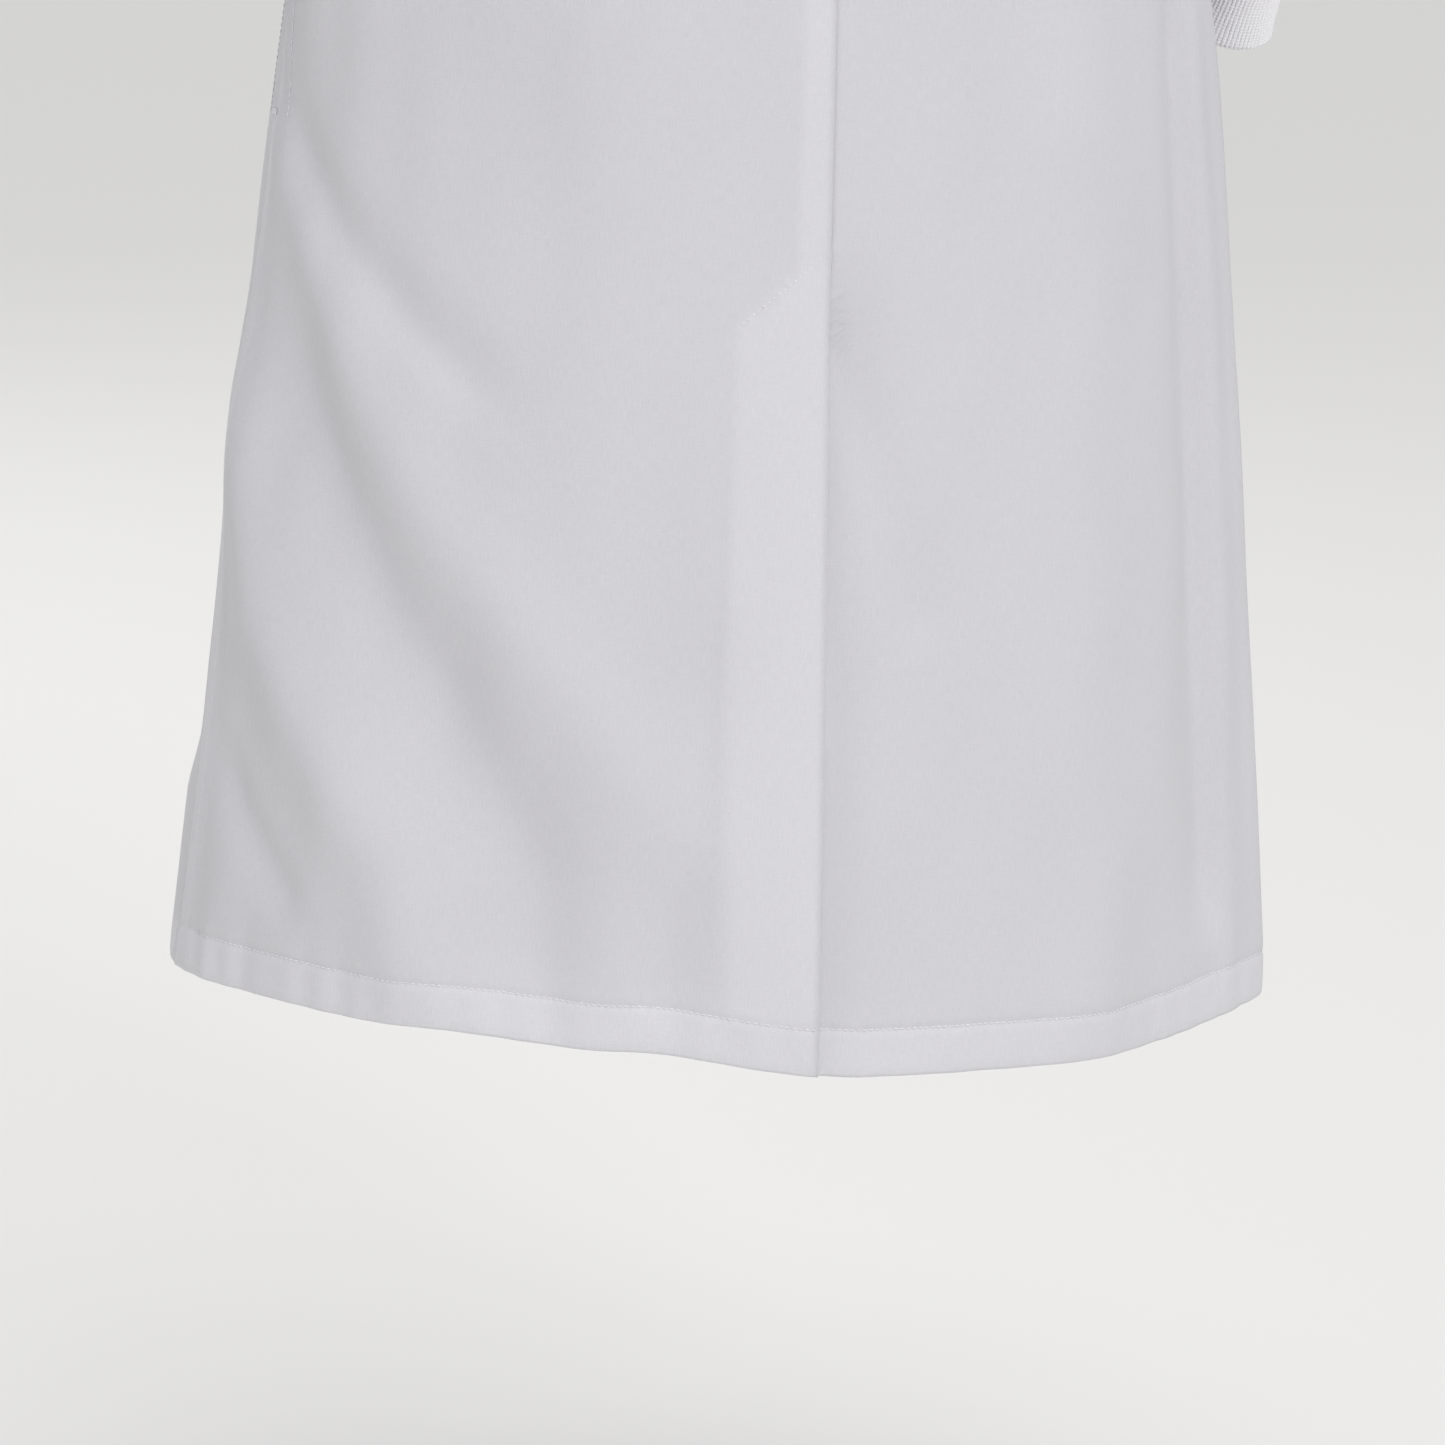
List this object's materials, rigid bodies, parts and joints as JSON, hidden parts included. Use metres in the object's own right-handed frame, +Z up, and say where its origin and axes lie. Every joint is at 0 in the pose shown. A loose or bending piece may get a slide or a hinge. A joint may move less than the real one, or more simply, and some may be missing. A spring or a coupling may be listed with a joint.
{
  "type": "lab coat",
  "caption": "White knee-length lab coat with notched lapels, patch pockets, side slits, a lapped centre-back vent, a press-stud front and ribbed knit cuffs.",
  "frame": {"origin": "middle of the neck opening, at the height of the back neck seam, where the coat hangs from the shoulders", "axes": "+Z up along the coat's length, +Y towards the back, -Y towards the front, +X towards the wearer's left"},
  "size_m": [0.739, 0.371, 1.1596],
  "materials": {
    "coat_cloth": "plain woven cotton blend, matt",
    "knit": "rib knit, matt",
    "tape": "woven tape",
    "label": "woven satin, blank",
    "thread": "dense thread",
    "snap_cap": "white enamel",
    "snap_metal": "nickel"
  },
  "bodies": {
    "coat": {"back_left": "coat_cloth", "back_right": "coat_cloth", "chest_left": "coat_cloth", "chest_right": "coat_cloth", "side_front_left": "coat_cloth", "side_front_right": "coat_cloth", "lapel_left": "coat_cloth", "lapel_right": "coat_cloth", "upper_collar": "coat_cloth", "under_collar": "coat_cloth", "neck_facing": "coat_cloth", "hanger_loop": "tape", "neck_label": "label", "breast_pocket": "coat_cloth", "slit_facing_back_left": "coat_cloth", "slit_facing_front_left": "coat_cloth", "slit_facing_back_right": "coat_cloth", "slit_facing_front_right": "coat_cloth", "bar_tacks": "thread"},
    "vent_corner": {"back_left_flap": "coat_cloth", "vent_facing": "coat_cloth"},
    "left_front": {"skirt_left": "coat_cloth", "facing_left": "coat_cloth", "pocket_left": "coat_cloth", "snap_caps": "snap_cap", "snap_sockets": "snap_metal"},
    "right_front": {"skirt_right": "coat_cloth", "facing_right": "coat_cloth", "pocket_right": "coat_cloth", "snap_studs": "snap_metal", "snap_backs": "snap_metal"},
    "left_sleeve": {"sleeve_left": "coat_cloth", "cuff_left": "knit"},
    "right_sleeve": {"sleeve_right": "coat_cloth", "cuff_right": "knit"}
  },
  "joints": [
    {"name": "vent_swing", "type": "hinge", "parent": "coat", "child": "vent_corner", "pos_m": [0.2, 0.165, -1.1], "axis": [0.402, 0, -0.9156], "range_deg": [0, 25]},
    {"name": "left_front_open", "type": "hinge", "parent": "coat", "child": "left_front", "pos_m": [0.286, -0.07, -1.1], "axis": [-0.1203, -0.0211, 0.9925], "range_deg": [0, 30]},
    {"name": "right_front_open", "type": "hinge", "parent": "coat", "child": "right_front", "pos_m": [-0.286, -0.07, -1.1], "axis": [0.1203, -0.0211, 0.9925], "range_deg": [-18, 0]},
    {"name": "left_sleeve_raise", "type": "hinge", "parent": "coat", "child": "left_sleeve", "pos_m": [0.2244, 0, -0.036], "axis": [0, -1, 0], "range_deg": [0, 35]},
    {"name": "right_sleeve_raise", "type": "hinge", "parent": "coat", "child": "right_sleeve", "pos_m": [-0.2244, 0, -0.036], "axis": [0, 1, 0], "range_deg": [0, 35]}
  ],
  "couplings": [
    {"joint": "right_front_open", "follows": "left_front_open", "ratio": -0.6}
  ]
}
